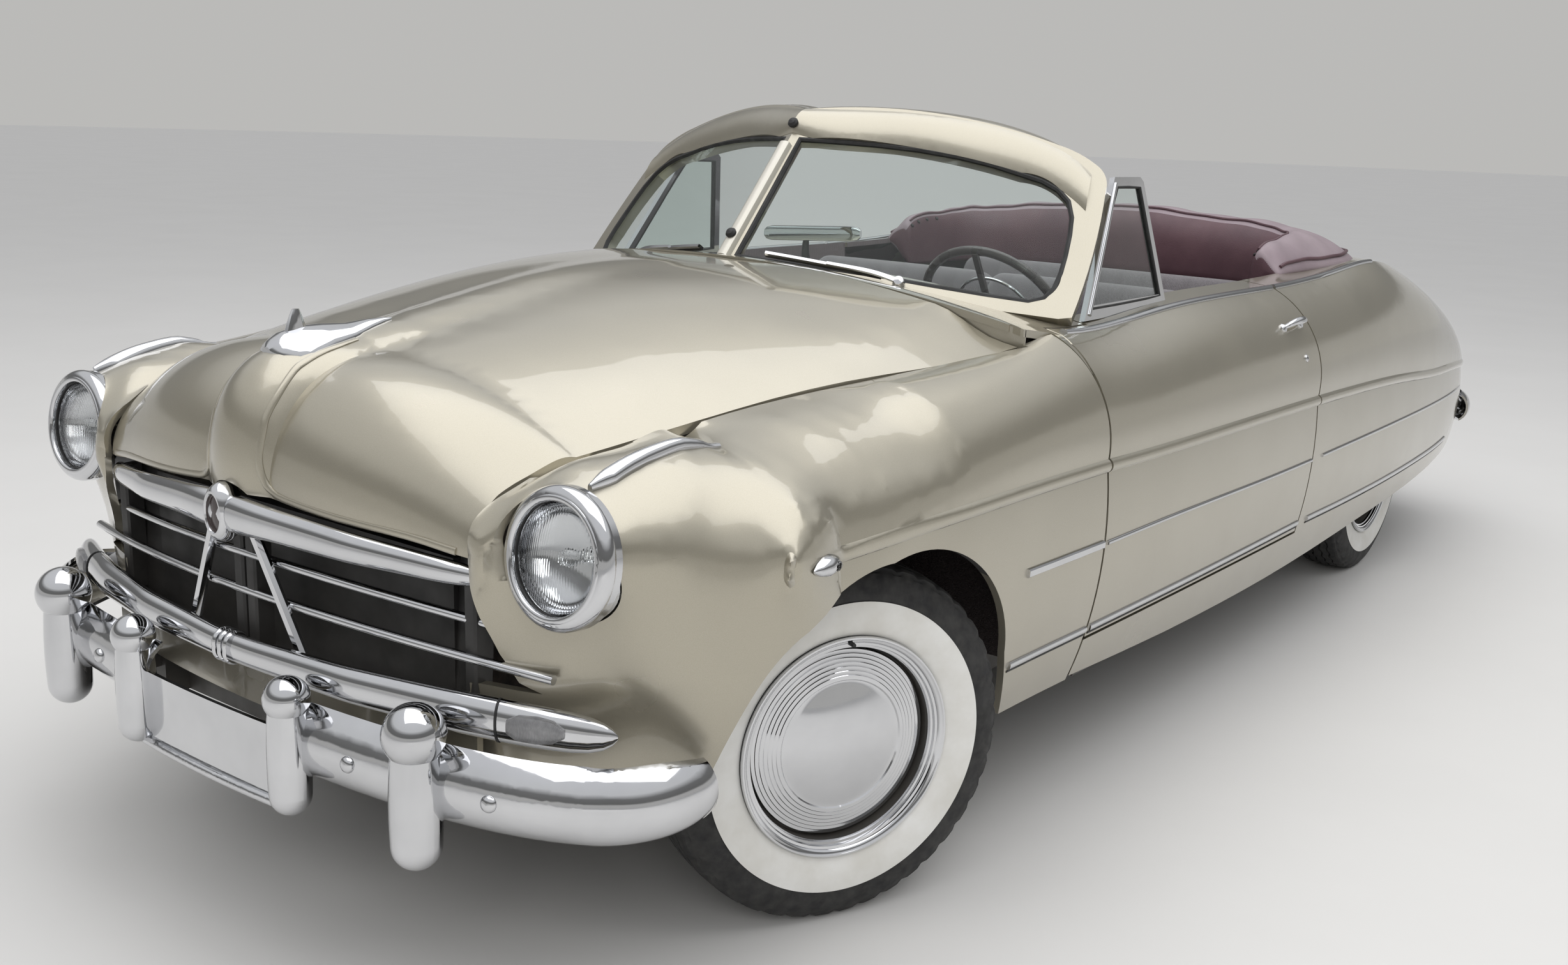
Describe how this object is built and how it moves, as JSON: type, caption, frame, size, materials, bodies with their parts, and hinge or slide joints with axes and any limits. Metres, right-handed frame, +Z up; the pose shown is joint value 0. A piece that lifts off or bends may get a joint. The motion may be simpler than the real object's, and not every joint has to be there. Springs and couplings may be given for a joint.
{
  "type": "1950s two-door convertible car",
  "caption": "Full-size open two-door car with a V windshield, folded top under a boot, whitewall tyres, chrome grille and bumpers, opening doors, hood and trunk lid",
  "frame": {"origin": "on the ground under the middle of the overall length and width", "axes": "+Z up, +X to the car's left, the nose points to -Y"},
  "size_m": [2.04, 5.2861, 1.5273],
  "materials": {
    "paint": "champagne metallic enamel",
    "chrome": "polished chrome plate",
    "glass": "clear flat glass with a faint green tint",
    "lens": "fluted clear glass",
    "red_lens": "ruby lens",
    "tyre": "black rubber with a wide white sidewall",
    "iron": "dark cast and forged iron",
    "chassis": "black chassis paint",
    "seat": "grey bedford cord with maroon piping",
    "dash": "grey-brown enamel",
    "rim_plastic": "moulded dark plastic",
    "boot": "maroon coated cloth"
  },
  "bodies": {
    "body": {"body_side_left": "paint", "body_side_right": "paint", "front_fender_left": "paint", "front_fender_right": "paint", "front_valance": "paint", "cowl": "paint", "rear_deck": "paint", "windshield_frame": "paint", "windshield_glass": "glass", "grille": "chrome", "front_bumper": "chrome", "rear_bumper": "chrome", "headlight_bezels": "chrome", "headlight_lenses": "lens", "tail_lamps": "red_lens", "front_suspension": "chassis", "rear_axle": "chassis", "frame_rails": "chassis", "floor_tub": "chassis", "engine_block": "iron", "exhaust": "iron", "fuel_tank": "chassis", "radiator": "chassis", "front_seat": "seat", "rear_seat": "seat", "dashboard": "dash", "steering_column": "dash", "top_boot": "boot"},
    "hood_panel": {"hood": "paint"},
    "trunk_panel": {"trunk_lid": "paint"},
    "left_door": {"door_left": "paint", "vent_window_left": "chrome"},
    "right_door": {"door_right": "paint", "vent_window_right": "chrome"},
    "left_knuckle": {"knuckle_left": "iron"},
    "right_knuckle": {"knuckle_right": "iron"},
    "left_front_wheel": {"tyre_front_left": "tyre", "wheel_front_left": "chrome"},
    "right_front_wheel": {"tyre_front_right": "tyre", "wheel_front_right": "chrome"},
    "left_rear_wheel": {"tyre_rear_left": "tyre", "wheel_rear_left": "chrome"},
    "right_rear_wheel": {"tyre_rear_right": "tyre", "wheel_rear_right": "chrome"},
    "hand_wheel": {"steering_wheel": "rim_plastic"}
  },
  "joints": [
    {"name": "hood_hinge", "type": "hinge", "parent": "body", "child": "hood_panel", "pos_m": [0, -1.00536, 1.14], "axis": [-1, 0, 0], "range_deg": [0, 35]},
    {"name": "trunk_hinge", "type": "hinge", "parent": "body", "child": "trunk_panel", "pos_m": [0, 1.56264, 1.09], "axis": [1, 0, 0], "range_deg": [0, 60]},
    {"name": "left_door_hinge", "type": "hinge", "parent": "body", "child": "left_door", "pos_m": [0.952, -1.02536, 0.7], "axis": [0, 0, -1], "range_deg": [0, 65]},
    {"name": "right_door_hinge", "type": "hinge", "parent": "body", "child": "right_door", "pos_m": [-0.952, -1.02536, 0.7], "axis": [0, 0, 1], "range_deg": [0, 65]},
    {"name": "left_steer", "type": "hinge", "parent": "body", "child": "left_knuckle", "pos_m": [0.6885, -1.74, 0.356], "axis": [0, 0, 1], "range_deg": [-7, 57]},
    {"name": "right_steer", "type": "hinge", "parent": "body", "child": "right_knuckle", "pos_m": [-0.6885, -1.74, 0.356], "axis": [0, 0, 1], "range_deg": [-7.5, 57.5]},
    {"name": "steering_turn", "type": "hinge", "parent": "body", "child": "hand_wheel", "pos_m": [0.285, -0.41536, 1], "axis": [0, 0.848, 0.5299], "range_deg": [-127, 1027]},
    {"name": "left_front_roll", "type": "hinge", "parent": "left_knuckle", "child": "left_front_wheel", "pos_m": [0.74288, -1.76536, 0.356], "axis": [0.9063, -0.4226, 0], "continuous": true},
    {"name": "right_front_roll", "type": "hinge", "parent": "right_knuckle", "child": "right_front_wheel", "pos_m": [-0.74288, -1.71464, 0.356], "axis": [0.9063, -0.4226, 0], "continuous": true},
    {"name": "left_rear_roll", "type": "hinge", "parent": "body", "child": "left_rear_wheel", "pos_m": [0.705, 1.41, 0.356], "axis": [1, 0, 0], "continuous": true},
    {"name": "right_rear_roll", "type": "hinge", "parent": "body", "child": "right_rear_wheel", "pos_m": [-0.705, 1.41, 0.356], "axis": [1, 0, 0], "continuous": true}
  ],
  "couplings": [
    {"joint": "right_steer", "follows": "left_steer", "ratio": 1},
    {"joint": "steering_turn", "follows": "left_steer", "ratio": 18}
  ]
}
